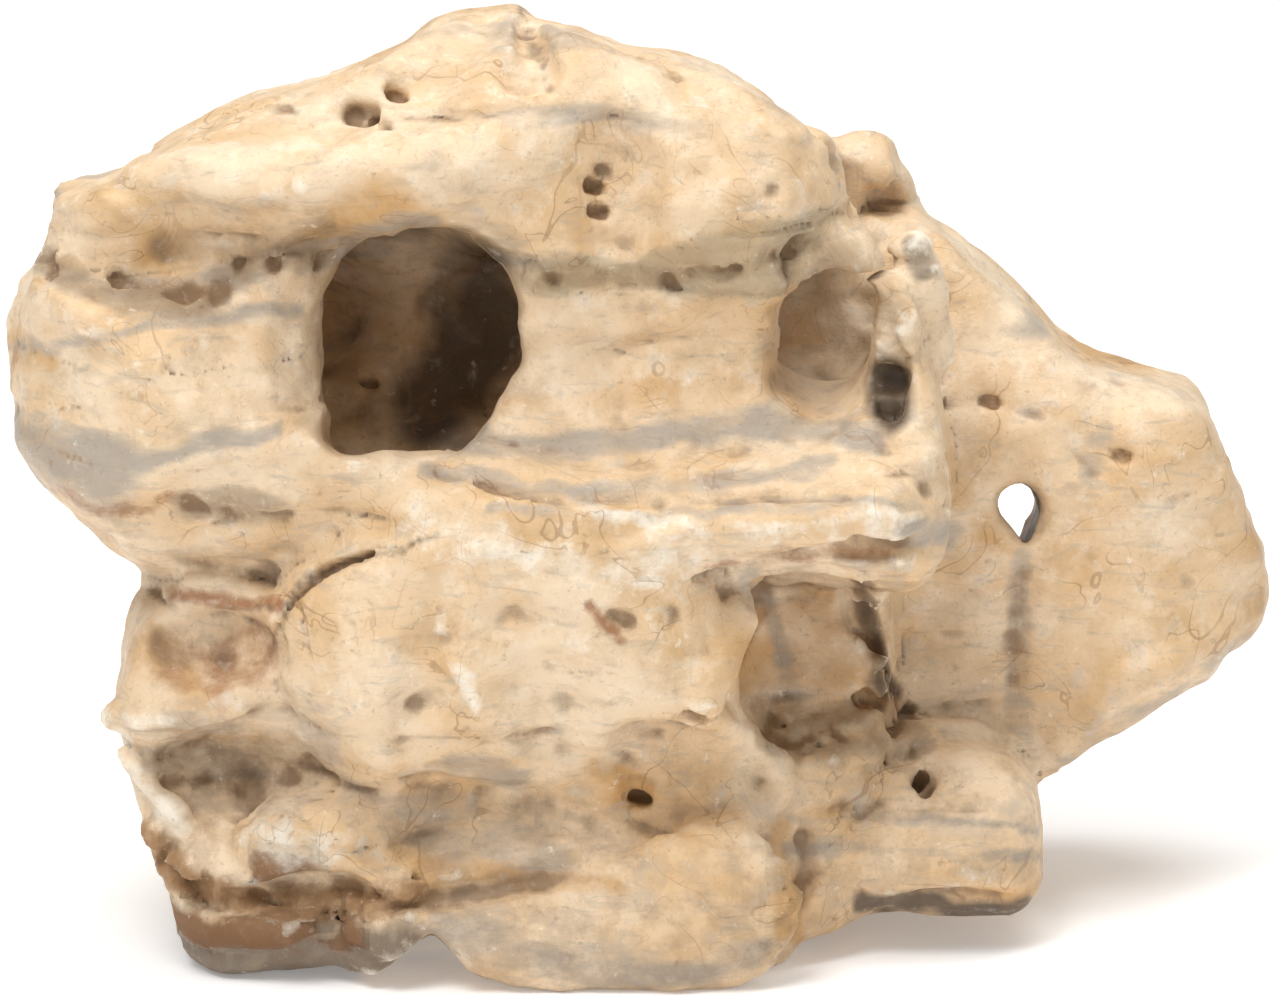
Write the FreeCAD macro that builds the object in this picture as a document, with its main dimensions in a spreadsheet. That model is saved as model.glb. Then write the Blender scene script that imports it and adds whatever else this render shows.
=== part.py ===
import FreeCAD, Part

import os

# Resin cave ornament for an aquarium or pond: hollow-cast filled-resin stones, bonded along
# their bedding seams around a swim-through cave.
#
# Frame: +X right, +Y to the rear, +Z up, millimetres. The origin is the centre of the
# footprint, on the plane that the ornament rests on.
#
# Each stone is what three upright and level outlines have in common: its front, its side and
# its plan. The tunnels, the window and the hollow underside are cut out of the stones. A stone
# laid against another is cut to it, so bonded faces meet with no gap and no overlap.

Vector = FreeCAD.Vector
Rotation = FreeCAD.Rotation

doc = FreeCAD.newDocument("resin_cave_ornament")
sizes = doc.addObject("Spreadsheet::Sheet", "sizes")

# ---------------------------------------------------------------- driving dimensions, in mm
DRIVING = [
    # The outlines below are drawn at this size. The overall sizes stretch them.
    ("drawn_width", 254),
    ("drawn_depth", 132),
    ("drawn_height", 189),
    ("overall_width", 254),
    ("overall_depth", 132),
    ("overall_height", 189),
    # The chamber behind the cave's mouth, the mouth itself and the passage out to the rear.
    ("chamber_bore", 53),
    ("mouth_width", 38),
    ("mouth_rise", 6),
    ("mouth_length", 56),
    ("bed_height", 125),
    ("rear_passage_bore", 26),
    ("rear_passage_length", 100),
    ("floor_pit_bore", 13),
    ("floor_pit_length", 28),
    # The tunnel that runs to the right behind the web of stone, and the mouth at its end.
    ("tunnel_bore", 28),
    ("tunnel_length", 84),
    ("side_mouth_width", 23),
    ("side_mouth_rise", 10),
    ("side_mouth_length", 46),
    # The window through the rear slab, and the hooded recess in the slab's top corner.
    ("window_bore", 12),
    ("window_length", 90),
    ("hood_bore", 15),
    ("hood_length", 36),
    # The eyelet through the ledge, and the dish in the face of the bowl stone.
    ("eyelet_bore", 7),
    ("eyelet_length", 58),
    ("dish_bore", 64),
    # The hollow underside that a filled-resin casting is poured with.
    ("hollow_bore", 64),
]


def write_sizes():
    """Put each driving dimension in its own cell, under its own alias."""
    for row, (alias, value) in enumerate(DRIVING, start=1):
        sizes.set(f"A{row}", alias)
        sizes.set(f"B{row}", str(value))
        sizes.setAlias(f"B{row}", alias)
    doc.recompute()


write_sizes()

SIDES = {"x": "width", "y": "depth", "z": "height"}
# How far a drawn length stretches along each axis, as a number and as an expression.
STRETCH = {axis: sizes.get(f"overall_{side}") / sizes.get(f"drawn_{side}")
           for axis, side in SIDES.items()}
STRETCH_TEXT = {axis: f"sizes.overall_{side} / sizes.drawn_{side}"
                for axis, side in SIDES.items()}

# The turn that brings a sketch's own x and y onto the two axes of a view. The sketch then
# faces along the third axis.
VIEWS = {
    "front": ("x", "z", "y", Rotation(Vector(1, 0, 0), Vector(0, 0, 1), Vector(0, -1, 0), "ZXY")),
    "side": ("y", "z", "x", Rotation(Vector(0, 1, 0), Vector(0, 0, 1), Vector(1, 0, 0), "ZXY")),
    "plan": ("x", "y", "z", Rotation()),
}


def place(thing, x, y, z, rotation=Rotation()):
    """Place a feature at a drawn point, which stretches with the overall sizes."""
    thing.Placement = FreeCAD.Placement(Vector(x, y, z), rotation)
    for axis, value in (("x", x), ("y", y), ("z", z)):
        thing.setExpression(f"Placement.Base.{axis}", f"{value} * {STRETCH_TEXT[axis]}")


# ---------------------------------------------------------------- building blocks
def slice_through(name, view, points):
    """A closed outline of straight lines in one view, pushed right through the ornament."""
    across, up, along, turn = VIEWS[view]
    sketch = doc.addObject("Sketcher::SketchObject", f"{name}_{view}_outline")
    corners = [Vector(a * STRETCH[across], b * STRETCH[up], 0) for a, b in points]
    for start, end in zip(corners, corners[1:] + corners[:1]):
        sketch.addGeometry(Part.LineSegment(start, end), False)
    sketch.Placement = FreeCAD.Placement(Vector(), turn)
    block = doc.addObject("Part::Extrusion", f"{name}_{view}_slice")
    block.Base = sketch
    block.DirMode = "Normal"
    block.Solid = True
    block.setExpression("LengthFwd", f"sizes.overall_{SIDES[along]} * 1.2")
    block.setExpression("LengthRev", f"sizes.overall_{SIDES[along]} * 1.2")
    return block


def stone(name, **outlines):
    """The solid that its outlines, given as front=, side= and plan=, have in common."""
    block = doc.addObject("Part::MultiCommon", f"{name}_block")
    block.Shapes = [slice_through(name, view, points) for view, points in outlines.items()]
    return block


def ball(name, centre, bore):
    """A sphere as wide as one cell of the sheet."""
    shape = doc.addObject("Part::Sphere", name)
    shape.setExpression("Radius", f"sizes.{bore} / 2")
    place(shape, *centre)
    return shape


def rod(name, start, direction, bore, length):
    """A round rod from start along direction, its width and length cells of the sheet."""
    shape = doc.addObject("Part::Cylinder", name)
    shape.setExpression("Radius", f"sizes.{bore} / 2")
    shape.setExpression("Height", f"sizes.{length}")
    place(shape, *start, Rotation(Vector(0, 0, 1), Vector(*direction)))
    return shape


def mouth(name, start):
    """An arched mouth: an upright slot with round ends, from start towards the rear. Its rise
    is how far the centre of the upper end stands above that of the lower one."""
    lower = rod(f"{name}_lower", start, (0, 1, 0), f"{name}_width", f"{name}_length")
    upper = rod(f"{name}_upper", start, (0, 1, 0), f"{name}_width", f"{name}_length")
    rise = f"sizes.{name}_rise"
    upper.setExpression("Placement.Base.z", f"{start[2]} * {STRETCH_TEXT['z']} + {rise}")
    between = doc.addObject("Part::Box", f"{name}_middle")
    between.setExpression("Length", f"sizes.{name}_width")
    between.setExpression("Width", f"sizes.{name}_length")
    between.setExpression("Height", rise)
    place(between, *start)
    half = f"sizes.{name}_width / 2"
    between.setExpression("Placement.Base.x", f"{start[0]} * {STRETCH_TEXT['x']} - {half}")
    return join(name, lower, between, upper)


def join(name, *shapes):
    """Several shapes as one."""
    result = doc.addObject("Part::MultiFuse", name)
    result.Shapes = list(shapes)
    return result


def cut(name, base, *tools):
    """base with every tool taken out of it, one after another."""
    for tool in tools:
        result = doc.addObject("Part::Cut", name if tool is tools[-1] else f"{name}_cut")
        result.Base = base
        result.Tool = tool
        base = result
    return result


def half_space(name, bottom):
    """A block wider than the ornament, standing on the height that the expression gives."""
    block = doc.addObject("Part::Box", name)
    for side, overall in (("Length", "width"), ("Width", "depth")):
        block.setExpression(side, f"2 * sizes.overall_{overall}")
    block.setExpression("Height", "2 * sizes.overall_height")
    block.setExpression("Placement.Base.x", "-sizes.overall_width")
    block.setExpression("Placement.Base.y", "-sizes.overall_depth")
    block.setExpression("Placement.Base.z", bottom)
    return block


# ---------------------------------------------------------------- what is cut out of the stones
# Under the resting plane: it trims every foot flat at z = 0.
ground = half_space("ground", "-2 * sizes.overall_height")
chamber = ball("chamber", (-45, -15, 121), "chamber_bore")
cave_mouth = mouth("mouth", (-43, -68, 126))
rear_passage = rod("rear_passage", (-46, -8, 121), (-1, 1, 0), "rear_passage_bore",
                   "rear_passage_length")
tunnel = rod("tunnel", (-40, -10, 126), (1, 0.06, 0.01), "tunnel_bore", "tunnel_length")
side_mouth = mouth("side_mouth", (37, -50, 123))
floor_pit = rod("floor_pit", (-52, -32, 112), (-0.05, 0.1, -1), "floor_pit_bore",
                "floor_pit_length")
window = rod("window", (77, -20, 90), (-0.03, 1, -0.268), "window_bore", "window_length")
hood = rod("hood", (49, 0, 141), (0, 1, -0.12), "hood_bore", "hood_length")
eyelet = rod("eyelet", (58, -60, 44), (0, 1, -0.268), "eyelet_bore", "eyelet_length")
dish = ball("dish", (-75, -74, 40), "dish_bore")
hollow = ball("hollow", (-6, -12, 2), "hollow_bore")

# ---------------------------------------------------------------- the stones, in bonding order
# The mass around the cave is two lobes, the cheek at the left and the web with its long shelf
# at the right. Each is cast in two beds that meet at the level of the tunnels, so that every
# passage is an open channel in its mould.
cheek_lobe = stone(
    "cheek_lobe",
    front=[(-127, 121), (-126, 132), (-119, 140), (-88, 142), (-56, 147), (-30, 143),
           (-30, 80), (-52, 78), (-78, 78), (-100, 80), (-117, 92), (-124, 106)],
    side=[(-44, 147), (-54, 140), (-59, 128), (-58, 110), (-50, 94), (-38, 82), (-10, 68),
          (44, 56), (46, 130), (12, 142), (-20, 147)],
    plan=[(-127, -18), (-123, -38), (-110, -52), (-84, -59), (-58, -58), (-38, -46),
          (-30, -30), (-30, 44), (-84, 44), (-106, 40), (-116, 22), (-125, 0)])
web_lobe = stone(
    "web_lobe",
    front=[(-62, 146), (-20, 143), (26, 146), (43, 147), (54, 132), (60, 114), (61, 90),
           (54, 78), (20, 66), (-20, 56), (-62, 56)],
    side=[(-36, 147), (-39, 136), (-40, 118), (-46, 110), (-58, 103), (-66, 100), (-66, 94),
          (-56, 87), (-40, 78), (-14, 68), (14, 60), (46, 55), (46, 130), (10, 141),
          (-20, 147)],
    plan=[(-57, -51), (-44, -60), (-24, -66), (8, -66), (36, -63), (54, -56), (61, -44),
          (62, -10), (56, 20), (48, 46), (-34, 46), (-34, -34)])
cave_lobes = [cheek_lobe, web_lobe]
cave_voids = [chamber, cave_mouth, rear_passage, tunnel, side_mouth]
bed = f"sizes.bed_height * {STRETCH_TEXT['z']}"
above_bed = half_space("above_bed", bed)
below_bed = half_space("below_bed", f"{bed} - 2 * sizes.overall_height")
cheek_stone = cut("cheek_stone", cheek_lobe, above_bed, *cave_voids, floor_pit)
cheek_cap = cut("cheek_cap", cheek_lobe, below_bed, *cave_voids)
shelf_stone = cut("shelf_stone", web_lobe, cheek_lobe, above_bed, *cave_voids, floor_pit)
web_stone = cut("web_stone", web_lobe, cheek_lobe, below_bed, *cave_voids)

roof_block = stone(
    "roof_boulder",
    front=[(-119, 152), (-106, 159), (-92, 166), (-76, 172), (-54, 181), (-36, 188),
           (-30, 184), (-24, 189), (-8, 182), (14, 174), (32, 163), (40, 151), (39, 138),
           (0, 130), (-96, 130), (-115, 138)],
    side=[(-48, 152), (-49, 158), (-44, 168), (-30, 180), (-10, 188), (4, 189), (24, 182),
          (44, 170), (58, 153), (60, 136), (50, 126), (-8, 130), (-36, 141)],
    plan=[(-119, -24), (-115, -36), (-98, -44), (-72, -48), (-44, -49), (-34, -43),
          (0, -42), (26, -37), (38, -24), (41, -2), (36, 26), (20, 50), (-16, 60),
          (-56, 60), (-86, 52), (-106, 34), (-117, 6)])
roof_boulder = cut("roof_boulder", roof_block, *cave_lobes, *cave_voids)

lower_block = stone(
    "lower_boulder",
    front=[(-74, 72), (-62, 84), (-38, 94), (10, 96), (34, 88), (50, 80), (56, 58),
           (49, 44), (46, 30), (54, 14), (50, -6), (-52, -6), (-58, 6), (-60, 20),
           (-56, 36), (-66, 52)],
    side=[(-64, 94), (-66, 84), (-65, 60), (-58, 48), (-50, 40), (-48, 30), (-54, 22),
          (-60, 16), (-61, 2), (-58, -6), (26, -6), (26, 90), (-20, 94)],
    plan=[(-38, -66), (2, -66), (13, -58), (22, -44), (36, -40), (46, -28), (50, -8),
          (56, 12), (56, 26), (-74, 26), (-74, -12), (-68, -40), (-56, -57)])
lower_boulder = cut("lower_boulder", lower_block, *cave_lobes, ground, hollow)

bowl_block = stone(
    "bowl_stone",
    front=[(-106, 54), (-105, 46), (-100, 30), (-94, 18), (-78, 11), (-50, 12), (-44, 22),
           (-46, 40), (-50, 58), (-60, 68), (-72, 75), (-88, 78), (-98, 72), (-104, 62)],
    side=[(-48, 76), (-51, 66), (-46, 54), (-51, 42), (-57, 28), (-56, 18), (-48, 10),
          (16, 8), (16, 76), (-14, 80)],
    plan=[(-106, -28), (-104, -42), (-92, -50), (-74, -57), (-60, -54), (-52, -44),
          (-44, -34), (-44, 16), (-94, 16), (-104, -4)])
bowl_stone = cut("bowl_stone", bowl_block, *cave_lobes, lower_block, dish)

foot_block = stone(
    "left_foot",
    front=[(-94, 10), (-92, 16), (-78, 20), (-56, 20), (-43, 14), (-44, 6), (-52, 0),
           (-58, -4), (-82, -4), (-90, 2)],
    side=[(-52, 18), (-55, 12), (-52, 4), (-44, -4), (8, -4), (10, 20), (-30, 22)],
    plan=[(-94, -26), (-91, -42), (-80, -53), (-64, -56), (-52, -52), (-42, -40),
          (-42, 8), (-88, 8), (-93, -8)])
left_foot = cut("left_foot", foot_block, bowl_block, lower_block, ground)

ledge_block = stone(
    "right_ledge",
    front=[(26, 30), (34, 36), (50, 40), (66, 39), (76, 34), (80, 28), (80, 12), (74, 6),
           (52, 4), (38, 8), (28, 16)],
    side=[(-38, 28), (-39, 20), (-35, 12), (-26, 6), (20, 4), (20, 40), (-6, 41), (-26, 38)],
    plan=[(26, -30), (40, -37), (60, -39), (75, -36), (80, -26), (80, 20), (26, 20)])
right_ledge = cut("right_ledge", ledge_block, lower_block, eyelet)

slab_block = stone(
    "rear_slab",
    front=[(33, 150), (46, 154), (54, 146), (58, 137), (66, 129), (80, 117), (90, 109),
           (108, 105), (115, 97), (120, 82), (127, 66), (126, 54), (118, 45), (104, 36),
           (92, 26), (80, 16), (60, 8), (38, 4), (30, 60)],
    side=[(6, 10), (-2, 34), (-3, 70), (-1, 96), (6, 112), (14, 132), (24, 148), (34, 154),
          (44, 150), (52, 134), (57, 96), (56, 40), (48, 6), (22, 2)],
    plan=[(30, 0), (48, -3), (80, -3), (106, -2), (118, 4), (126, 14), (127, 28),
          (119, 44), (100, 54), (70, 57), (30, 57)])
rear_slab = cut("rear_slab", slab_block, *cave_lobes, roof_block, lower_block, ledge_block,
                window, hood, eyelet, *cave_voids)

buttress_block = stone(
    "rear_buttress",
    front=[(-68, 92), (-30, 100), (44, 96), (60, 60), (58, -6), (-62, -6), (-76, 44)],
    side=[(10, -6), (10, 92), (36, 100), (50, 92), (60, 74), (66, 50), (66, 8), (60, -6)],
    plan=[(-76, 20), (-74, 10), (50, 10), (60, 24), (58, 42), (40, 58), (18, 66), (-30, 66),
          (-56, 58), (-72, 42)])
rear_buttress = cut("rear_buttress", buttress_block, *cave_lobes, roof_block, lower_block,
                    bowl_block, foot_block, ledge_block, slab_block, ground, window,
                    rear_passage)

# ---------------------------------------------------------------- joint compound in the seams
web_bead = stone(
    "roof_joint_putty",
    front=[(-22, 145), (-10, 147), (14, 146), (34, 148), (37, 144), (30, 140), (8, 139),
           (-14, 140), (-22, 141)],
    side=[(-43, 148), (-43, 142), (-40, 138), (-34, 138), (-34, 148)],
    plan=[(-22, -42), (4, -44), (26, -42), (37, -38), (37, -34), (-22, -34)])
roof_joint_putty = cut("roof_joint_putty", web_bead, *cave_lobes, roof_block, *cave_voids)
cheek_bead = stone(
    "cheek_joint_putty",
    front=[(-116, 142), (-108, 149), (-88, 151), (-66, 153), (-63, 147), (-86, 139),
           (-110, 136)],
    side=[(-46, 154), (-46, 143), (-40, 134), (-34, 134), (-34, 154)],
    plan=[(-116, -28), (-111, -35), (-96, -41), (-78, -45), (-63, -45), (-63, -32),
          (-100, -28)])
cheek_joint_putty = cut("cheek_joint_putty", cheek_bead, *cave_lobes, roof_block, *cave_voids)
crust_bead = stone(
    "foot_joint_putty",
    front=[(-95, 13), (-88, 20), (-66, 21), (-46, 18), (-44, 12), (-62, 8), (-88, 9)],
    side=[(-60, 19), (-61, 13), (-57, 7), (-40, 7), (-40, 21)],
    plan=[(-95, -28), (-94, -42), (-88, -51), (-66, -60), (-50, -57), (-43, -44), (-48, -38),
          (-64, -40), (-84, -34), (-86, -28)])
foot_joint_putty = cut("foot_joint_putty", crust_bead, bowl_block, foot_block, lower_block)

PIECES = [cheek_stone, cheek_cap, shelf_stone, web_stone, roof_boulder, lower_boulder,
          bowl_stone, left_foot, right_ledge, rear_slab, rear_buttress, roof_joint_putty,
          cheek_joint_putty, foot_joint_putty]
doc.recompute()
for piece in PIECES:
    piece.Label = piece.Name


# ---------------------------------------------------------------- checks, then one file each
def refuse_broken():
    """Stop if any feature failed, or a piece is not one sound solid."""
    for item in doc.Objects:
        if "Invalid" in item.State or "Error" in item.State:
            raise RuntimeError(f"{item.Name} did not build: {item.State}")
    for piece in PIECES:
        shape = piece.Shape
        if shape.isNull() or not shape.isValid():
            raise RuntimeError(f"{piece.Name} has no valid shape")
        if len(shape.Solids) != 1:
            raise RuntimeError(f"{piece.Name} is in {len(shape.Solids)} pieces")
        print(piece.Name, round(shape.Volume), "mm3")


refuse_broken()
os.makedirs("parts", exist_ok=True)
for piece in PIECES:
    piece.Shape.exportStep(f"parts/{piece.Label}.step")
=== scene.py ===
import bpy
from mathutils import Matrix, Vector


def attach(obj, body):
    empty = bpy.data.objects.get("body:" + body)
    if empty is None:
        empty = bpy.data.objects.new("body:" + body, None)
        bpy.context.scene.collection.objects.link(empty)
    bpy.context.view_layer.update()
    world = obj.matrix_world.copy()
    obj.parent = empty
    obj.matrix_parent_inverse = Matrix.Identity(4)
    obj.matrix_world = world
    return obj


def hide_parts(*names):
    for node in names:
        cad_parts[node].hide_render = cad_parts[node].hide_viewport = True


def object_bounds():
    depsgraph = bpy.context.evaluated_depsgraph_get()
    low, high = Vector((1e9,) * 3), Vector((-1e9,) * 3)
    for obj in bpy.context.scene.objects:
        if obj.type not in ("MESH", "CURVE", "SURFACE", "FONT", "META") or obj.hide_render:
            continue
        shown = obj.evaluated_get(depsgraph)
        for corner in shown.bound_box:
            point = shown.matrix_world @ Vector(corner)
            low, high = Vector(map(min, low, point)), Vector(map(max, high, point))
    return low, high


bl_info = {
    "name": "Resin cave ornament",
    "version": (1, 0, 0),
    "blender": (4, 5, 0),
    "location": "3D View > Sidebar > Cave Ornament",
    "description": "Sculpts and colours the stones of a cave ornament around its packed frame",
    "category": "Object",
}

import math

import bpy
import numpy as np
import openvdb
from bpy.props import FloatProperty, PointerProperty
from mathutils import Vector

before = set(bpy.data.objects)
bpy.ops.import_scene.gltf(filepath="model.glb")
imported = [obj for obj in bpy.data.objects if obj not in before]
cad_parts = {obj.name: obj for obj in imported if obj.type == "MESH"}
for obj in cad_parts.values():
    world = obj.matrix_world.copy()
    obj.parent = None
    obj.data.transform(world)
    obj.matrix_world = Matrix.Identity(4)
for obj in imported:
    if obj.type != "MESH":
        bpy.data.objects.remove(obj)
CAD_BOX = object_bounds()

MM = 0.001
# How far a bead of joint compound is smeared over the stones beside it, in mm.
BEAD_SPREAD = 0.8

# ---------------------------------------------------------------- the stones and their looks
NODES = tuple(sorted(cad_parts))
BEADS = tuple(name for name in NODES if name.endswith("_putty"))
SLOTS = {
    # The left foot's dark grey comes from painted shade, laid by the foot coat.
    "left_foot": "cast_stone_dark",
    "roof_joint_putty": "joint_compound_grey",
    "cheek_joint_putty": "joint_compound_grey",
    "foot_joint_putty": "joint_compound_brown",
}


def linear(hex_colour):
    """An sRGB colour written as hex, as linear red, green and blue."""
    channels = [int(hex_colour[i:i + 2], 16) / 255 for i in (1, 3, 5)]
    return tuple(c / 12.92 if c <= 0.04045 else ((c + 0.055) / 1.055) ** 2.4
                 for c in channels)


# ---------------------------------------------------------------- the line of sight
# Relief is placed as seen from the front, 15 degrees up: u runs to the right and v upwards, in
# mm, on a plane square to that line of sight. v = 0 is where the foremost foot meets the floor.
SIGHT_UP = math.radians(15)
SIN, COS = math.sin(SIGHT_UP), math.cos(SIGHT_UP)
FRONT_Y = -60.0


def seen_v(y, z):
    return z * COS + (y - FRONT_Y) * SIN


def height_at(v, y):
    return (v - (y - FRONT_Y) * SIN) / COS


def smooth_min(a, b, soft):
    """The smaller of a and b, rounded off where they meet."""
    if soft <= 0:
        return np.minimum(a, b)
    h = np.maximum(soft - np.abs(a - b), 0) / soft
    return np.minimum(a, b) - h * h * soft * 0.25


def smooth_max(a, b, soft):
    return -smooth_min(-a, -b, soft)


def curve_through(points, spacing):
    """Points about spacing apart on a smooth curve through the given ones."""
    points = np.asarray(points, float)
    if len(points) == 1:
        return points
    padded = np.vstack([2 * points[0] - points[1], points, 2 * points[-1] - points[-2]])
    out = []
    for i in range(1, len(padded) - 2):
        p0, p1, p2, p3 = padded[i - 1:i + 3]
        count = max(2, int(np.linalg.norm(p2 - p1) / spacing))
        t = np.linspace(0, 1, count, endpoint=False)[:, None]
        out.append(0.5 * (2 * p1 + (p2 - p0) * t + (2 * p0 - 5 * p1 + 4 * p2 - p3) * t ** 2
                          + (3 * p1 - p0 - 3 * p2 + p3) * t ** 3))
    out.append(points[-1:])
    return np.vstack(out)


def polygon_distance(polygon, u, v):
    """Signed distance from each (u, v) to a closed outline, negative inside it."""
    best = np.full(u.shape, 1e9)
    inside = np.zeros(u.shape, bool)
    for (ax, ay), (bx, by) in zip(polygon, np.roll(polygon, -1, axis=0)):
        ex, ey = bx - ax, by - ay
        t = np.clip(((u - ax) * ex + (v - ay) * ey) / (ex * ex + ey * ey), 0, 1)
        best = np.minimum(best, (u - ax - t * ex) ** 2 + (v - ay - t * ey) ** 2)
        spans = (ay > v) != (by > v)
        if by != ay:
            inside ^= spans & (u < ex * (v - ay) / ey + ax)
    return np.where(inside, -1.0, 1.0) * np.sqrt(best)


# ---------------------------------------------------------------- the field the rock is cut from
class Rock:
    """Signed distance in mm on a grid around the ornament, negative inside the stone."""

    MARGIN = 9.0
    BAND = 10

    def __init__(self, step):
        self.step = step
        low = np.array(CAD_BOX[0]) * 1000 - self.MARGIN
        high = np.array(CAD_BOX[1]) * 1000 + self.MARGIN
        self.first = np.floor(low / step).astype(int)
        self.shape = tuple(np.ceil(high / step).astype(int) - self.first + 1)
        self.low = self.first * step
        self.axes = [self.low[a] + np.arange(self.shape[a], dtype=np.float32) * step
                     for a in range(3)]
        self.nodes = {name: self.node_distance(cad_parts[name]) for name in NODES}
        self.field = None

    def node_distance(self, node):
        mesh = node.data
        points = np.empty(len(mesh.vertices) * 3, np.float32)
        mesh.vertices.foreach_get("co", points)
        mesh.calc_loop_triangles()
        corners = np.empty(len(mesh.loop_triangles) * 3, np.int32)
        mesh.loop_triangles.foreach_get("vertices", corners)
        points = points.reshape(-1, 3) * 1000
        corners = corners.reshape(-1, 3)
        unique, index = np.unique(np.round(points, 3), axis=0, return_inverse=True)
        corners = index.reshape(-1)[corners].astype(np.uint32)
        grid = openvdb.FloatGrid.createLevelSetFromPolygons(
            unique.astype(np.float32), triangles=corners,
            transform=openvdb.createLinearTransform(voxelSize=self.step),
            halfWidth=self.BAND)
        out = np.empty(self.shape, np.float32)
        grid.copyToArray(out, ijk=tuple(int(i) for i in self.first))
        return out

    # -------------------------------------------------- reading the field
    def sample(self, values, points):
        """Values on the grid, read at points in mm, blended between grid points."""
        where = (np.asarray(points) - self.low) / self.step
        cell = np.clip(np.floor(where).astype(int), 0, np.array(self.shape) - 2)
        part = np.clip(where - cell, 0, 1)
        total = 0
        for corner in range(8):
            bits = [(corner >> a) & 1 for a in range(3)]
            weight = 1
            for a in range(3):
                weight = weight * (part[:, a] if bits[a] else 1 - part[:, a])
            total = total + weight * values[cell[:, 0] + bits[0], cell[:, 1] + bits[1],
                                            cell[:, 2] + bits[2]]
        return total

    def normal(self, points, reach=1.5):
        slopes = []
        for a in range(3):
            offset = np.zeros(3)
            offset[a] = reach
            slopes.append(self.sample(self.field, points + offset)
                          - self.sample(self.field, points - offset))
        slopes = np.stack(slopes, 1)
        return slopes / np.maximum(np.linalg.norm(slopes, axis=1, keepdims=True), 1e-6)

    def seen(self, marks):
        """Where the line of sight through each (u, v) first meets the stone."""
        marks = np.asarray(marks, float)
        y = np.arange(-74, 70, 0.5)
        u = np.repeat(marks[:, 0], len(y))
        v = np.repeat(marks[:, 1], len(y))
        ys = np.tile(y, len(marks))
        line = np.stack([u, ys, height_at(v, ys)], 1)
        hit = (self.sample(self.field, line) < 0).reshape(len(marks), -1)
        first = np.where(hit.any(1), hit.argmax(1), len(y) - 1)
        return line.reshape(len(marks), -1, 3)[np.arange(len(marks)), first]

    # -------------------------------------------------- changing the field
    def window(self, low, high):
        """The part of the grid inside a box, as slices and its grid points."""
        low = np.maximum(np.floor((np.asarray(low) - self.low) / self.step).astype(int), 0)
        high = np.minimum(np.ceil((np.asarray(high) - self.low) / self.step).astype(int) + 1,
                          self.shape)
        part = tuple(slice(int(a), int(max(b, a + 1))) for a, b in zip(low, high))
        grids = np.meshgrid(*[self.axes[a][part[a]] for a in range(3)], indexing="ij")
        return part, grids

    def apply(self, part, shape, soft, add):
        if add:
            self.field[part] = smooth_min(self.field[part], shape, soft)
        else:
            self.field[part] = smooth_max(self.field[part], -shape, soft)

    def balls(self, centres, radii, soft, add):
        """Add or carve a chain of balls."""
        centres = np.asarray(centres)
        radii = np.broadcast_to(np.asarray(radii, float), (len(centres),))
        reach = radii.max() + soft + 3
        part, (x, y, z) = self.window(centres.min(0) - reach, centres.max(0) + reach)
        shape = np.full(x.shape, 1e3, np.float32)
        for (cx, cy, cz), r in zip(centres, radii):
            shape = np.minimum(shape, np.sqrt((x - cx) ** 2 + (y - cy) ** 2
                                              + (z - cz) ** 2) - r)
        self.apply(part, shape, soft, add)

    def tube(self, centres, radii, soft, add):
        """Add or carve a smooth tube through the centres."""
        both = curve_through(np.column_stack([centres, radii]), 2.5)
        self.balls(both[:, :3], both[:, 3], soft, add)

    def stroke(self, marks, width, depth, soft=1.0, taper=True):
        """A groove as wide and deep as given, or a ridge where depth is negative, drawn on
        the surface through (u, v) marks. With taper it narrows towards both ends."""
        marks = curve_through(marks, max(self.step, width * 0.2))
        on = self.seen(marks)
        outward = self.normal(on)
        along = np.linspace(0, 1, len(on))
        shrink = np.clip(np.minimum(along, 1 - along) * 5, 0.3 if taper else 1.0, 1)
        w, d = width * shrink, abs(depth) * shrink
        radius = np.where(d < w / 2, (w * w / 4 + d * d) / (2 * d), w / 2)
        side = 1 if depth > 0 else -1
        sunk = math.ceil(max((d - w / 2).max(), 0) / (0.4 * width))
        for step in range(sunk + 1):
            share = step / sunk if sunk else 1
            centres = on + outward * (side * share * (radius - d))[:, None]
            self.balls(centres, radius, soft, add=depth < 0)

    def lump(self, centre, radii, soft=2.0, add=True, turn=0.0, swing=0.0):
        """Add or carve an ellipsoid. In degrees, turn leans it as seen from the front and
        swing takes its right end to the rear."""
        reach = max(radii) + soft + 2
        centre = np.asarray(centre, float)
        part, (x, y, z) = self.window(centre - reach, centre + reach)
        dx, dy, dz = x - centre[0], y - centre[1], z - centre[2]
        c, s = math.cos(math.radians(swing)), math.sin(math.radians(swing))
        dx, dy = c * dx + s * dy, -s * dx + c * dy
        c, s = math.cos(math.radians(turn)), math.sin(math.radians(turn))
        dx, dz = c * dx + s * dz, -s * dx + c * dz
        shell = np.sqrt((dx / radii[0]) ** 2 + (dy / radii[1]) ** 2 + (dz / radii[2]) ** 2)
        self.apply(part, ((shell - 1) * min(radii)).astype(np.float32), soft, add)

    def prism(self, outline, front, back, soft=1.0, add=False):
        """Add or carve what lies behind an outline of (u, v) points, between two depths."""
        outline = curve_through(np.vstack([outline, outline[:1]]), 3.0)[:-1]
        low_v, high_v = outline[:, 1].min(), outline[:, 1].max()
        heights = [height_at(v, y) for v in (low_v, high_v) for y in (front, back)]
        part, (x, y, z) = self.window(
            (outline[:, 0].min() - 4, front - 4, min(heights) - 4),
            (outline[:, 0].max() + 4, back + 4, max(heights) + 4))
        flat = polygon_distance(outline, x, seen_v(y, z))
        slab = np.maximum(front - y, y - back)
        self.apply(part, np.maximum(flat, slab).astype(np.float32), soft, add)

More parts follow.
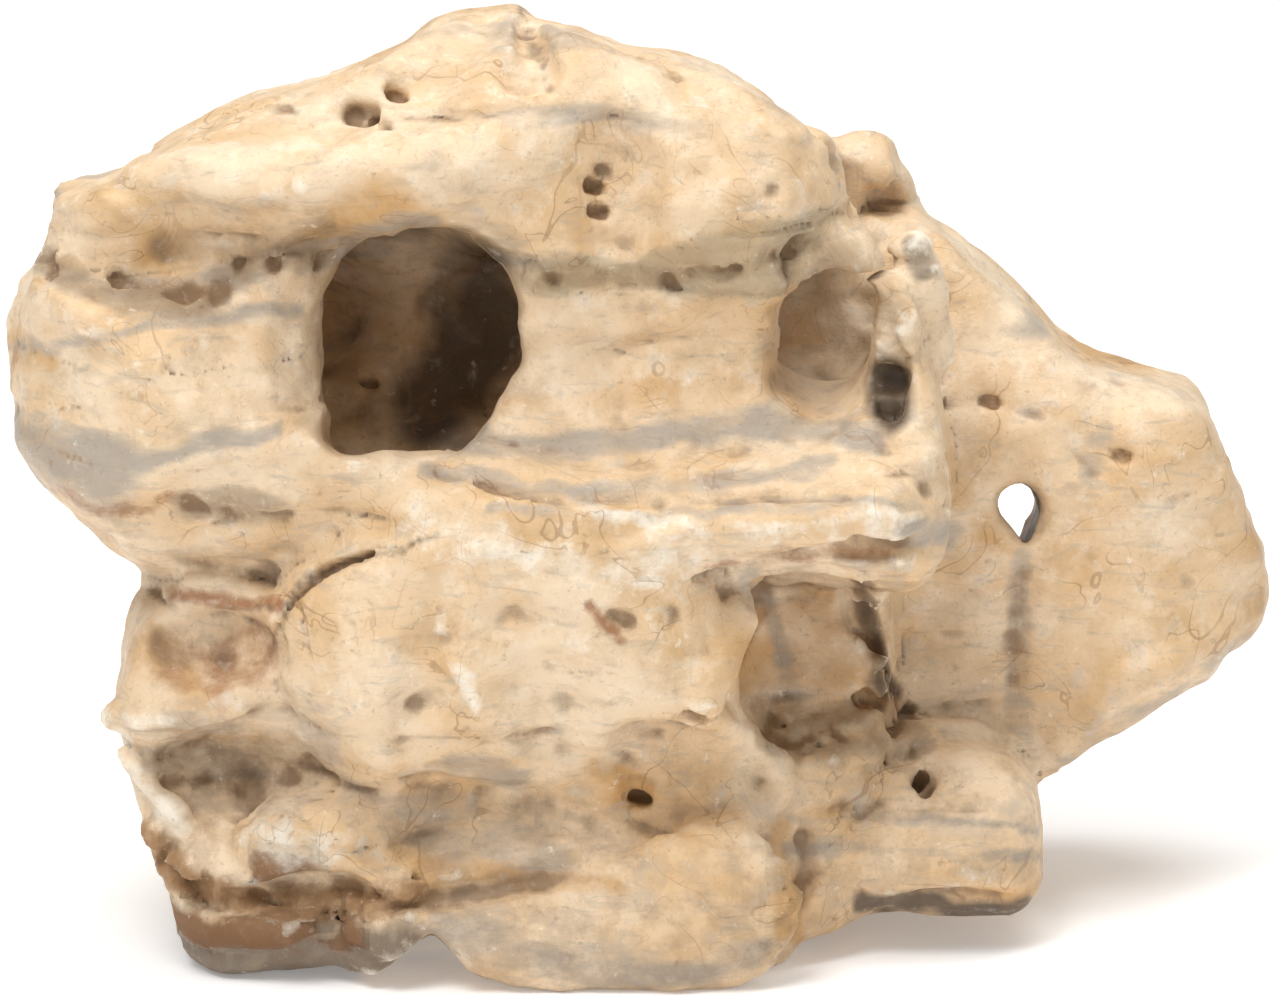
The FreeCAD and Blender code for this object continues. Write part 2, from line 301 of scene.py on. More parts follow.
    def blur(self, values, sigma):
        """values smoothed over a distance in mm."""
        cells = sigma / self.step
        reach = int(math.ceil(cells * 2.5))
        taps = np.exp(-0.5 * (np.arange(-reach, reach + 1) / cells) ** 2)
        taps = (taps / taps.sum()).astype(np.float32)
        out = values
        for a in range(3):
            pad = [(0, 0)] * 3
            pad[a] = (reach, reach)
            padded = np.pad(out, pad, mode="edge")
            out = sum(tap * np.take(padded, range(i, i + values.shape[a]), axis=a)
                      for i, tap in enumerate(taps))
        return out.astype(np.float32)

    def noise(self, size, seed):
        """Smooth random values about as wide as size, in mm, from -1 to 1. size may differ
        along x, y and z."""
        sizes = np.broadcast_to(np.asarray(size, float), (3,))
        random = np.random.default_rng(seed)
        counts = [int(self.shape[a] * self.step / sizes[a]) + 3 for a in range(3)]
        lattice = random.uniform(-1, 1, counts).astype(np.float32)
        for a in range(3):
            place = (np.arange(self.shape[a]) * self.step) / sizes[a]
            cell = np.floor(place).astype(int)
            part = place - cell
            part = (part * part * (3 - 2 * part)).astype(np.float32)
            near = np.take(lattice, cell, axis=a)
            far = np.take(lattice, cell + 1, axis=a)
            shape = [1, 1, 1]
            shape[a] = -1
            part = part.reshape(shape)
            lattice = near * (1 - part) + far * part
        return lattice

    # -------------------------------------------------- from the CAD to the finished shape
    def join(self):
        """The stones as one smooth body, their flat CAD facets worn round."""
        look = bpy.context.scene.cave_ornament
        field = self.nodes[NODES[0]]
        for name in NODES[1:]:
            field = smooth_min(field, self.nodes[name], 5.0)
        self.field = self.blur(field, look.edge_wear / MM)

    def label(self):
        """Which stone owns each grid point inside the rock: 0 outside, then 1 for the first."""
        wander = self.noise(9, 31) * 1.3 + self.noise(4, 32) * 0.7
        best = np.full(self.shape, 1e9, np.float32)
        owner = np.zeros(self.shape, np.int16)
        for i, name in enumerate(NODES):
            distance = self.nodes[name] + (wander if i % 2 else -wander)
            if name in BEADS:
                distance = self.nodes[name] - BEAD_SPREAD
            closer = distance < best
            best[closer] = distance[closer]
            owner[closer] = i + 1
        return np.where(self.field < 0, owner, 0)

    def skins(self):
        """A closed mesh for each stone. Neighbours share the same points where they meet."""
        owner = self.label()
        field = self.field
        cells = tuple(n - 1 for n in self.shape)
        total = np.zeros((3, int(np.prod(cells))))
        count = np.zeros(int(np.prod(cells)))
        edges = []
        for a in range(3):
            b, c = (a + 1) % 3, (a + 2) % 3
            low = [slice(None)] * 3
            high = [slice(None)] * 3
            low[a], high[a] = slice(0, -1), slice(1, None)
            from_owner, to_owner = owner[tuple(low)], owner[tuple(high)]
            at = np.argwhere(from_owner != to_owner)
            at = at[(at[:, b] > 0) & (at[:, c] > 0) & (at[:, b] < cells[b])
                    & (at[:, c] < cells[c])]
            ends = tuple(at.T)
            one, two = from_owner[ends], to_owner[ends]
            f1, f2 = field[tuple(low)][ends], field[tuple(high)][ends]
            skin = (one == 0) | (two == 0)
            part = np.where(skin, f1 / np.where(f1 == f2, 1, f1 - f2), 0.5)
            place = at.astype(float)
            place[:, a] += np.clip(part, 0.02, 0.98)
            ring = []
            for db, dc in ((-1, -1), (0, -1), (0, 0), (-1, 0)):
                cell = at.copy()
                cell[:, b] += db
                cell[:, c] += dc
                flat = np.ravel_multi_index(tuple(cell.T), cells)
                ring.append(flat)
                for k in range(3):
                    total[k] += np.bincount(flat, place[:, k], len(count))
                count += np.bincount(flat, minlength=len(count))
            edges.append((np.stack(ring, 1), one, two))
        used = count > 0
        number = np.cumsum(used) - 1
        points = (total[:, used] / count[used]).T * self.step + self.low
        pieces = {}
        for i, name in enumerate(NODES):
            faces = []
            for ring, one, two in edges:
                faces.append(ring[one == i + 1])
                faces.append(ring[two == i + 1][:, ::-1])
            faces = number[np.vstack(faces)]
            keep, faces = np.unique(faces, return_inverse=True)
            pieces[name] = (points[keep], faces.reshape(-1, 4))
        return pieces


# ---------------------------------------------------------------- the sculpting
# The outer edge of the whole ornament, as seen along the line of sight.
SILHOUETTE = [
    (-119, 161), (-112, 163), (-104, 164), (-95, 169), (-85, 175), (-76, 179), (-60, 183),
    (-48, 189), (-41, 194), (-34, 196), (-25, 197), (-22, 194), (-13, 192), (-5, 188),
    (7, 186), (16, 183), (26, 177), (33, 172), (48, 172), (52, 168), (55, 161), (57, 155),
    (64, 150), (72, 144), (80, 136), (88, 129), (102, 124), (110, 122), (113, 118),
    (115, 111), (121, 100), (126, 86), (127, 78), (125, 70), (118, 67), (114, 62),
    (105, 58), (96, 51), (91, 49), (84, 43), (79, 40), (80, 32), (80, 22), (77, 17),
    (64, 16), (48, 17), (40, 14), (31, 11), (28, 6), (24, 2), (12, 0), (-12, -1), (-24, 1),
    (-34, 6), (-41, 13), (-48, 8), (-58, 1), (-74, -2), (-86, 2), (-92, 10), (-94, 18),
    (-98, 28), (-103, 40), (-108, 50), (-107, 55), (-103, 58), (-102, 70), (-101, 78),
    (-102, 86), (-110, 94), (-119, 103), (-124, 110), (-125, 118), (-127, 130),
    (-124, 142), (-119, 147), (-118, 155),
]
CAVE_MOUTH = [
    (-46, 151), (-34, 148), (-27, 144), (-24, 138), (-25, 130), (-32, 122), (-40, 114),
    (-48, 109), (-56, 106), (-61, 108), (-62, 113), (-55, 118), (-46, 124), (-42, 136),
    (-44, 146),
]
SIDE_MOUTH = [
    (30, 151), (40, 151), (45, 146), (50, 138), (53, 128), (54, 118), (51, 111),
    (46, 113), (45, 118), (43, 123), (37, 130), (28, 140), (26, 146),
]
WINDOW = [(73, 98), (75.5, 100.5), (79, 99.5), (81, 95), (80, 90), (77, 87.5), (74, 91)]
WINDOW_BACK = [(73, 97), (75, 99.5), (77, 97.5), (78, 93), (77, 89.5), (75, 89), (73, 92)]


def trim_to_silhouette(rock):
    """Nothing stands outside the ornament's own outline, seen from the front."""
    outline = curve_through(np.vstack([SILHOUETTE, SILHOUETTE[:1]]), 4.0)[:-1]
    v = np.arange(-12, 210, 0.75)
    u = rock.axes[0]
    flat = polygon_distance(outline, *np.meshgrid(u, v, indexing="ij")).astype(np.float32)
    y, z = np.meshgrid(rock.axes[1], rock.axes[2], indexing="ij")
    place = np.clip((seen_v(y, z) - v[0]) / 0.75, 0, len(v) - 2.001)
    cell = place.astype(int)
    part = (place - cell).astype(np.float32)
    shape = flat[:, cell] * (1 - part) + flat[:, cell + 1] * part
    rock.field = smooth_max(rock.field, shape, 3.0)


def sculpt_cave(rock):
    # A slope sweeps in from the cheek and deepens to the right, into the cave's mouth.
    rock.lump((-74, -66, 132), (34, 12, 15), 8, add=False, swing=46)
    rock.lump((-73, -30, 128), (12, 25, 22), 6)
    rock.tube([(-46, -48, 128), (-44, -34, 130), (-43, -15, 129)], [14, 17, 18], 4, add=False)
    rock.stroke([(-96, 139), (-84, 137), (-72, 134), (-60, 131)], 32, 9, 9)
    rock.prism(CAVE_MOUTH, -72, -14, soft=2.0)
    # The side mouth's thin outer wall is built up behind, then worn back at its front edge.
    rock.tube([(54, -22, 142), (57, -24, 134), (59, -24, 122)], [3, 4, 4.5], 4, add=True)
    rock.prism(SIDE_MOUTH, -50, -36, soft=2.5)
    rock.tube([(34, -18, 132), (28, -12, 130), (18, -9, 128)], [11, 13, 14], 4, add=False)
    rock.prism(WINDOW, -10, 22, soft=2.5)
    rock.prism(WINDOW_BACK, 20, 70, soft=1.0)


def sculpt_roof(rock):
    # The brow hangs over the slope. Its lip rises to the right and ends in a small hook.
    rock.tube([(-104, -36, 152), (-88, -43, 157), (-72, -47, 161), (-56, -48, 164),
               (-44, -48, 165), (-30, -40, 166)], [4, 7, 8, 8, 7, 6], 9, add=True)
    rock.tube([(-92, -55, 147), (-78, -58, 150), (-62, -59, 153), (-48, -58, 156)],
              [5, 7, 7, 5], 5, add=False)
    # The right half of the roof swells forward over the web.
    rock.lump((11, -24, 158), (27, 21, 18), 10)
    rock.lump((-20, -26, 172), (24, 18, 14), 10)
    rock.lump((-4, -46, 160), (5, 8, 12), 5, add=False, turn=10)
    rock.stroke([(-40, 148), (-28, 145), (-12, 141), (2, 140), (16, 143), (32, 148)],
                5, 2.0, 2)
    rock.stroke([(-23, 198), (-21, 189), (-17, 179)], 3.6, 4, 0.8)
    rock.stroke([(-30, 194), (-38, 184), (-48, 178)], 9, 2.0, 4)
    rock.stroke([(-20, 188), (-13, 172), (-9, 158), (-8, 147)], 13, 2.6, 5)
    rock.stroke([(-108, 162), (-92, 160), (-78, 162), (-62, 170)], 8, 2.2, 4)
    rock.stroke([(8, 182), (18, 172), (26, 160)], 8, 1.6, 4)
    # Its right end is rounded, and stands clear of the slab behind it.
    rock.stroke([(31, 176), (38, 167), (42, 158), (44, 149)], 9, 5, 2.5)


def sculpt_cheek(rock):
    rock.stroke([(-127, 128), (-112, 126), (-98, 128), (-84, 130), (-72, 131)], 5, 1.6, 2)
    rock.stroke([(-100, 93), (-88, 95), (-76, 96)], 9, 1.6, 3)
    rock.stroke([(-52, 134), (-54, 128), (-55, 120)], 1.8, 2, 0.6)
    rock.stroke([(-120, 106), (-108, 98), (-96, 102), (-80, 108), (-64, 110)], 8, -1.6, 3)


def sculpt_shelf(rock):
    # The web flares forward to the shelf's lip, which is crisp at the right end.
    rock.stroke([(4, 91), (22, 92), (40, 94), (60, 95)], 7, -2.4, 2)
    rock.stroke([(10, 83), (26, 86), (44, 89), (58, 89)], 7, 4, 2)
    rock.stroke([(-40, 103), (-20, 98), (0, 98), (22, 98), (44, 98)], 5, 1.6, 2)
    rock.stroke([(-30, 110), (-8, 106), (14, 108), (38, 112)], 6, 1.3, 3)
    rock.stroke([(46, 112), (52, 104), (60, 98)], 7, 2, 2)


def sculpt_lower(rock):
    # The boulder's rounded shoulder at the left, with the crevice that bounds it.
    rock.lump((-54, -46, 68), (17, 17, 22), 7)
    rock.stroke([(-73, 60), (-72, 70), (-69, 77), (-62, 84), (-50, 88), (-40, 91)], 3, 3.2, 1)
    rock.stroke([(-42, 90), (-26, 87), (-6, 88), (8, 91)], 6, -2.2, 2)
    rock.stroke([(-36, 88), (-40, 76), (-42, 62), (-47, 50)], 9, 2.6, 4)
    rock.stroke([(-8, 77), (-4, 76), (0, 72)], 5, 2.5, 1.5)
    rock.stroke([(-32, 82), (-22, 70), (-16, 56), (-18, 44)], 12, 2.4, 5)
    rock.stroke([(-30, 84), (-14, 80), (2, 82)], 8, -2.2, 3)
    rock.stroke([(-24, 52), (-12, 46), (-2, 44)], 7, 2.2, 3)
    rock.stroke([(-50, 44), (-36, 40), (-22, 38), (-10, 34)], 8, 2.6, 3)
    rock.stroke([(-36, 66), (-20, 70), (-4, 66), (6, 60)], 7, -2.0, 3)
    rock.stroke([(-44, 58), (-26, 60), (-8, 56)], 7, 1.8, 3)
    # The recess under the shelf, its pillar and the crevices at its sides.
    rock.lump((33, -36, 64), (17, 15, 20), 8, add=False)
    rock.stroke([(20, 82), (17, 73), (13, 63), (11, 56)], 9, -4, 2)
    rock.stroke([(26, 83), (21, 72), (17, 60)], 4, 3, 1.5)
    rock.stroke([(44, 84), (47, 74), (48, 64), (52, 56)], 5, 6, 1.5)
    # The pitted hollow, with the worn ridge below it that runs down to the left.
    rock.lump((9, -60, 47), (15, 11, 9), 3, add=False, turn=-24)
    rock.stroke([(12, 58), (22, 50), (28, 43), (25, 38), (14, 30), (4, 23)], 8, -3, 2)
    rock.stroke([(-5, 47), (-1, 44), (0, 38)], 4, 2.5, 1)
    # The smooth facet and the feet in front.
    rock.lump((10, -54, 18), (19, 8, 17), 6)
    rock.stroke([(-44, 22), (-26, 27), (-8, 30)], 6, -1.8, 2)
    rock.stroke([(-48, 18), (-30, 21), (-12, 24)], 4, 2, 2)
    rock.stroke([(32, 34), (33, 24), (30, 14)], 5, 2.5, 2)


def sculpt_bowl(rock):
    # An arch under the cheek, a ridge below it, and the wide bowl with its sharp left rim.
    rock.lump((-85, -52, 68), (16, 15, 10), 2.5, add=False)
    rock.stroke([(-94, 80), (-84, 82), (-72, 77)], 5, -2.5, 1.5)
    rock.lump((-80, -58, 41), (20, 20, 15), 2.0, add=False, turn=-12)
    rock.stroke([(-104, 55), (-92, 56), (-82, 58), (-74, 60)], 5, -3.5, 1.5)
    rock.stroke([(-105, 52), (-99, 44), (-93, 37), (-88, 33)], 5, -3.5, 1.2)
    rock.stroke([(-104, 57), (-105, 54)], 7, -3, 1.5)
    rock.lump((-66, -50, 30), (13, 8, 8), 8)
    rock.stroke([(-80, 36), (-77, 34)], 4, 2, 1)
    # The seam over the foot is eaten back.
    rock.stroke([(-96, 28), (-91, 22), (-80, 19), (-68, 21), (-56, 21), (-45, 23)], 6, 4, 1.5)


def sculpt_ledge(rock):
    rock.stroke([(30, 46), (42, 47), (54, 50), (66, 52), (76, 50)], 6, -2.5, 2)
    rock.stroke([(56, 44), (57, 40)], 6, 6, 1)
    rock.stroke([(33, 36), (44, 37), (58, 38), (74, 36)], 4, 1.6, 2)
    rock.stroke([(46, 21), (60, 23), (76, 22)], 5, -1.6, 2)
    rock.stroke([(44, 18), (60, 19), (78, 17)], 5, 2.4, 2)


def sculpt_slab(rock):
    rock.lump((50, 8, 140), (8, 13, 15), 3, add=False, turn=-14)
    rock.stroke([(39, 170), (46, 171), (52, 166), (55, 158)], 5, -2, 1.5)
    rock.stroke([(56, 148), (62, 134), (68, 122), (74, 112)], 12, -1.8, 5)
    rock.stroke([(77, 87), (76, 78), (75, 68), (75, 62)], 6, 1.8, 3)
    rock.stroke([(96, 122), (92, 112), (90, 104)], 10, 2.2, 5)
    rock.stroke([(84, 52), (96, 60), (110, 68), (124, 76)], 6, -2, 3)
    rock.stroke([(88, 46), (102, 54), (116, 62)], 9, 2.6, 3)


def sculpt_pits(rock):
    for u, v, wide, deep in ((9, 54, 5, 6), (0, 39, 3, 5), (47, 58, 5, 6), (-55, 174, 5, 4),
                             (-51, 172, 3, 3), (-48, 178, 3, 3), (-9, 160, 3, 3),
                             (-8, 155, 3, 3), (-7, 163, 2.5, 2), (49, 122, 6, 5),
                             (96, 107, 3, 2), (70, 118, 3, 2), (-54, 122, 2.6, 2.5),
                             (-92, 124, 2, 1.5)):
        rock.stroke([(u - wide * 0.3, v), (u + wide * 0.3, v - 0.5)], wide, deep, 0.8, False)


# Stains, bands and painted shadows as seen from the front: (width in mm, strength, points along
# a line).
PAINT = {
    # Painted shade: a dark grey strip where the left foot meets the floor.
    "foot": [(12, 0.95, [(-90, 8), (-66, 7), (-47, 9)])],
    "grey": [
        (7, 0.9, [(-118, 146), (-108, 140), (-90, 137), (-78, 143), (-60, 148), (-44, 151)]),
        (3, 0.8, [(-126, 128), (-104, 130), (-90, 133), (-68, 135)]),
        (14, 0.9, [(-122, 109), (-113, 105), (-104, 103)]),
        (4.5, 0.9, [(-106, 104), (-94, 107), (-82, 110), (-72, 112)]),
        (8, 0.5, [(-88, 96), (-80, 97), (-72, 96)]),
        (6, 0.9, [(-46, 113), (-22, 108), (0, 110), (24, 113), (46, 110)]),
        (4, 0.8, [(-42, 104), (-16, 100), (10, 101), (38, 105)]),
        (3, 0.8, [(-30, 96), (0, 95), (30, 97), (56, 97)]),
        (7, 0.8, [(54, 93), (61, 90)]),
        (5, 0.8, [(22, 82), (27, 72), (31, 60)]),
        (22, 0.55, [(-92, 46), (-80, 44), (-70, 46)]),
        (5, 0.8, [(-38, 46), (-30, 45), (-23, 43)]),
        (12, 0.6, [(-54, 38), (-40, 33), (-20, 28)]),
        (10, 0.7, [(-38, 12), (-22, 8), (-6, 6)]),
        (14, 0.6, [(30, 53), (42, 52), (50, 51)]),
        (2, 0.9, [(30, 34), (50, 35), (78, 33)]),
        (2.5, 0.9, [(30, 28), (52, 28), (80, 27)]),
        (6, 0.7, [(-16, 8), (6, 4), (24, 9)]),
        (5, 0.6, [(76, 86), (76, 70), (77, 52)]),
        (7, 0.6, [(86, 46), (100, 53), (114, 61), (124, 70)]),
        (4, 0.6, [(96, 122), (92, 112), (90, 102)]),
    ],
    "ochre": [
        (7, 0.9, [(-125, 129), (-118, 126)]),
        (5, 0.9, [(-120, 146), (-112, 143)]),
        # Painted shadow under the brow, in ochre.
        (13, 0.7, [(-92, 146), (-76, 149), (-58, 153), (-45, 155)]),
        (5, 0.9, [(-42, 25), (-24, 23), (-6, 22)]),
        (5, 0.9, [(28, 32), (29, 22), (30, 12)]),
        (9, 0.7, [(16, 78), (19, 70), (22, 62)]),
        (7, 0.9, [(-7, 45), (-1, 40)]),
        (6, 0.6, [(-46, 120), (-20, 117), (6, 119)]),
        (18, 0.6, [(-92, 68), (-80, 68)]),
        (12, 0.5, [(34, 50), (46, 56)]),
        (7, 0.5, [(60, 104), (70, 92), (88, 84)]),
        (8, 0.4, [(-96, 158), (-76, 165), (-60, 172)]),
        (6, 0.5, [(-10, 150), (10, 147), (28, 152)]),
    ],
    "rust": [
        (3, 1.0, [(-10, 77), (-4, 71)]),
        (3.5, 0.9, [(-91, 80), (-80, 78), (-72, 77)]),
        (14, 0.6, [(-92, 66), (-82, 64), (-76, 68)]),
        (7, 0.9, [(-97, 31), (-92, 26), (-86, 20), (-70, 18), (-56, 18), (-44, 20)]),
        # Painted shadow under the shelf's lip, in rust brown.
        (3, 0.6, [(12, 85), (30, 87), (48, 88)]),
        (6, 0.6, [(45, 80), (47, 68), (50, 58)]),
        (3, 0.7, [(-44, 134), (-40, 141), (-30, 146)]),
        (2.5, 0.7, [(-118, 100), (-104, 96), (-92, 98)]),
    ],
    # Painted shadow in the cave, its slope, the mouths, crevices, pits and hollows, and under
    # overhangs.
    "painted_shadow": [
        (20, 0.9, [(-34, 142), (-34, 128), (-42, 118)]),
        (7, 0.5, [(-46, 126), (-54, 114)]),
        (13, 0.42, [(-60, 146), (-62, 130), (-62, 116)]),
        (8, 0.5, [(-92, 148), (-78, 148), (-64, 151)]),
        (12, 0.55, [(-92, 70), (-82, 70)]),
        (9, 0.5, [(-90, 46), (-76, 44)]),
        (9, 1.0, [(49, 124), (50, 116)]),
        (18, 0.5, [(40, 142), (46, 130)]),
        (6, 1.0, [(54, 148), (56, 144)]),
        (5, 0.8, [(45, 80), (47, 70), (50, 60)]),
        (4, 0.9, [(45, 18), (62, 17), (80, 16)]),
        (1.6, 0.9, [(-23, 195), (-21, 187), (-17, 179)]),
        (1.6, 0.9, [(-73, 60), (-72, 70), (-69, 77), (-62, 84), (-50, 88), (-40, 91)]),
        (2, 0.7, [(12, 84), (30, 86), (50, 87)]),
        (2, 0.7, [(-92, 79), (-82, 77), (-74, 76)]),
    ],
    "chip": [
        (3, 1.0, [(-38, 76), (-38, 74)]),
        (3.5, 1.0, [(-36, 65), (-32, 58)]),
        (8, 0.6, [(-42, 91), (-20, 87), (0, 85), (10, 88)]),
        (3.5, 0.9, [(-104, 51), (-97, 40), (-89, 33)]),
        (10, 0.7, [(-74, 30), (-62, 29)]),
        (3, 0.8, [(-14, 98), (6, 93), (30, 93), (56, 95)]),
    ],
    "crust": [
        (6, 0.9, [(-118, 146), (-108, 140), (-90, 137), (-78, 143), (-62, 147)]),
        (7, 0.8, [(-88, 96), (-80, 97), (-72, 96)]),
        (8, 1.0, [(-97, 31), (-92, 26), (-86, 20), (-70, 18), (-56, 18), (-44, 20)]),
        (12, 0.9, [(28, 52), (40, 52), (52, 51)]),
        (6, 0.8, [(45, 80), (47, 68), (50, 58)]),
        (14, 0.45, [(-92, 46), (-80, 44), (-70, 46)]),
        (4, 0.7, [(-20, 142), (0, 141), (18, 144), (34, 148)]),
    ],
}
PAINT_STEP = 0.75
PAINT_LOW = (-135.0, -12.0)
PAINT_SIZE = (360, 300)


def painted(kind):
    """One kind of stain, or the painted shadow, as strengths on a sheet square to the line of
    sight.
    """
    u = PAINT_LOW[0] + np.arange(PAINT_SIZE[0]) * PAINT_STEP
    v = PAINT_LOW[1] + np.arange(PAINT_SIZE[1]) * PAINT_STEP
    u, v = np.meshgrid(u, v, indexing="ij")
    sheet = np.zeros(u.shape)
    for width, strength, points in PAINT[kind]:
        line = curve_through(points, 2.0)
        away = np.full(u.shape, 1e3)
        for pu, pv in line:
            away = np.minimum(away, np.hypot(u - pu, v - pv))
        soft = max(1.5, width * 0.4)
        sheet = np.maximum(sheet, strength * np.clip(0.5 + (width / 2 - away) / soft, 0, 1))
    return sheet.astype(np.float32)


def on_sheet(sheet, u, v):
    """Strengths read off a painted sheet at u and v."""
    low = [np.clip((w - PAINT_LOW[a]) / PAINT_STEP, 0, PAINT_SIZE[a] - 2.001)
           for a, w in enumerate((u, v))]
    i, j = (w.astype(int) for w in low)
    p, q = low[0] - i, low[1] - j
    return ((sheet[i, j] * (1 - p) + sheet[i + 1, j] * p) * (1 - q)
            + (sheet[i, j + 1] * (1 - p) + sheet[i + 1, j + 1] * p) * q)


def paint(rock):
    """Prepare what stain and painted shade depend on: edges, hollows, bedding and the painted
    marks.
    """
    rock.sheets = {kind: painted(kind) for kind in PAINT}
    rock.fine = rock.blur(rock.field, 1.8)
    rock.broad = rock.blur(rock.field, 6.0)
    rock.beds = rock.noise((55, 55, 7), 41) + 0.5 * rock.noise((30, 30, 4), 42)
    rock.wander = rock.noise(7, 43)
    rock.wander_up = rock.noise(5, 44)


def belongs(rock, names, others, points, soft):
    """How much of each point belongs to the named stones rather than the others, 0 to 1."""
    own = np.min([rock.sample(rock.nodes[name], points) for name in names], 0)
    rest = np.min([rock.sample(rock.nodes[name], points) for name in others], 0)
    share = np.clip(0.5 + (rest - own + 1.2 * rock.sample(rock.wander_up, points)) / soft, 0, 1)
    return share * (own < 9)


def stains_and_shade(rock, points, normals):
    """Each stain's and painted shade's strength, 0 to 1, at points on the skin."""
    facing = np.clip((normals @ np.array([0, -COS, SIN]) + 0.1) / 0.3, 0, 1)
    u = points[:, 0] + 2.2 * rock.sample(rock.wander, points)
    v = seen_v(points[:, 1], points[:, 2]) + 1.6 * rock.sample(rock.wander_up, points)
    near = np.clip((20 - points[:, 1]) / 14, 0, 1)
    front = facing * np.maximum(near, points[:, 0] > 58)
    found = {kind: on_sheet(sheet, u, v) * front for kind, sheet in rock.sheets.items()}
    beds = rock.sample(rock.beds, points)
    found["grey"] = np.maximum(found["grey"], np.clip((beds - 0.55) / 0.35, 0, 1) * 0.6)
    found["ochre"] = np.maximum(found["ochre"], np.clip((-beds - 0.45) / 0.4, 0, 1) * 0.6)
    bend = rock.sample(rock.fine, points)
    worn = np.clip((bend - 0.4) / 0.6, 0, 1) * (1 - found["crust"])
    found["chip"] = np.maximum(found["chip"] * 0.8, worn)
    # Painted shade: darker in broad hollows and in fine creases.
    hollow = np.clip(-rock.sample(rock.broad, points) / 5.0 - 0.06, 0, 0.8)
    found["painted_shade"] = np.maximum(hollow, np.clip((-bend - 0.12) / 0.5, 0, 1))
    # Painted shade under overhangs, where the surface faces down, and darker towards the bottom.
    under = 0.55 * np.clip(-normals[:, 2] - 0.1, 0, 1)
    low = 0.42 * np.clip((78 - points[:, 2]) / 60, 0, 1)
    found["painted_shade"] = np.maximum(found["painted_shade"], np.maximum(under, low))
    # Painted shade: the whole left foot is coloured dark grey.
    foot = belongs(rock, ["left_foot"], [name for name in NODES if name != "left_foot"],
                   points, 2.0)
    found["foot"] = np.maximum(found["foot"], foot)
    stones = [name for name in NODES if name not in BEADS]
    found["grey_compound"] = belongs(rock, ["roof_joint_putty", "cheek_joint_putty"], stones,
                                     points, 2.5)
    found["brown_compound"] = belongs(rock, ["foot_joint_putty"], stones, points, 2.5)
    return found


def crumble(rock):
    """The seams' compound and the crust over the foot are coarse and full of small holes."""
    y, z = np.meshgrid(rock.axes[1], rock.axes[2], indexing="ij")
    u = np.broadcast_to(rock.axes[0][:, None, None], rock.shape)
    v = np.broadcast_to(seen_v(y, z)[None], rock.shape)
    crust = on_sheet(rock.sheets["crust"], u, v) * (y < 10)[None]
    coarse = rock.noise(3.4, 21) + 0.7 * rock.noise(2.4, 22)
    rock.field = rock.field + (crust * coarse * 1.5).astype(np.float32)


def roughen(rock):
    """Weathering: broad swells with crisp arrises between them, creases that follow the
    level beds, then small knocks."""
    swell = (rock.noise((46, 46, 34), 1) * 1.5 + rock.noise((26, 26, 17), 2) * 0.8
             + rock.noise((15, 15, 7), 3) * 0.4)
    arris = np.abs(rock.noise((34, 34, 26), 6)) * 3.0 + np.abs(rock.noise((19, 19, 13), 7)) * 1.1
    crease = np.maximum(0.12 - np.abs(rock.noise((40, 40, 11), 8)), 0) * 7
    small = rock.noise((6, 6, 4), 4) * 0.42 + rock.noise(3.2, 5) * 0.28
    rock.field = rock.field + swell + arris - 1.3 + crease + small


def flatten_base(rock):
    """The feet stand on one plane."""
    z = rock.axes[2][None, None, :]
    rock.field = np.maximum(rock.field, -z - np.zeros(rock.shape, np.float32))


_rock = {}


def rock():
    """The finished rock, sculpted once and then shared by every stone."""
    if not _rock:
        look = bpy.context.scene.cave_ornament
        made = Rock(look.grid_step / MM)
        made.join()
        for sculpt in (sculpt_roof, sculpt_cheek, sculpt_shelf, sculpt_lower, sculpt_bowl,
                       sculpt_ledge, sculpt_slab, sculpt_cave):
            sculpt(made)
        trim_to_silhouette(made)
        roughen(made)
        sculpt_pits(made)
        paint(made)
        crumble(made)
        flatten_base(made)
        _rock["made"] = made
        _rock["skins"] = made.skins()
    return _rock["made"]


# ---------------------------------------------------------------- materials
def add(tree, kind, inputs=None, **settings):
    """One node with its settings. Each input takes an output socket or a constant."""
    node = tree.nodes.new(kind)
    for name, value in settings.items():
        setattr(node, name, value)
    for name, value in (inputs or {}).items():
        if isinstance(value, bpy.types.NodeSocket):
            tree.links.new(value, node.inputs[name])
        else:
            node.inputs[name].default_value = value
    return node


def features(millimetres):
    """The noise scale that gives features about this wide."""
    return 1 / (millimetres * MM)


def rgba(hex_colour):
    return (*linear(hex_colour), 1)


# Typical values for a filled polyester casting under a thin satin sealer.
RESIN_IOR = 1.54
SEALED_ROUGHNESS = (0.36, 0.58)
BARE_ROUGHNESS = 0.88


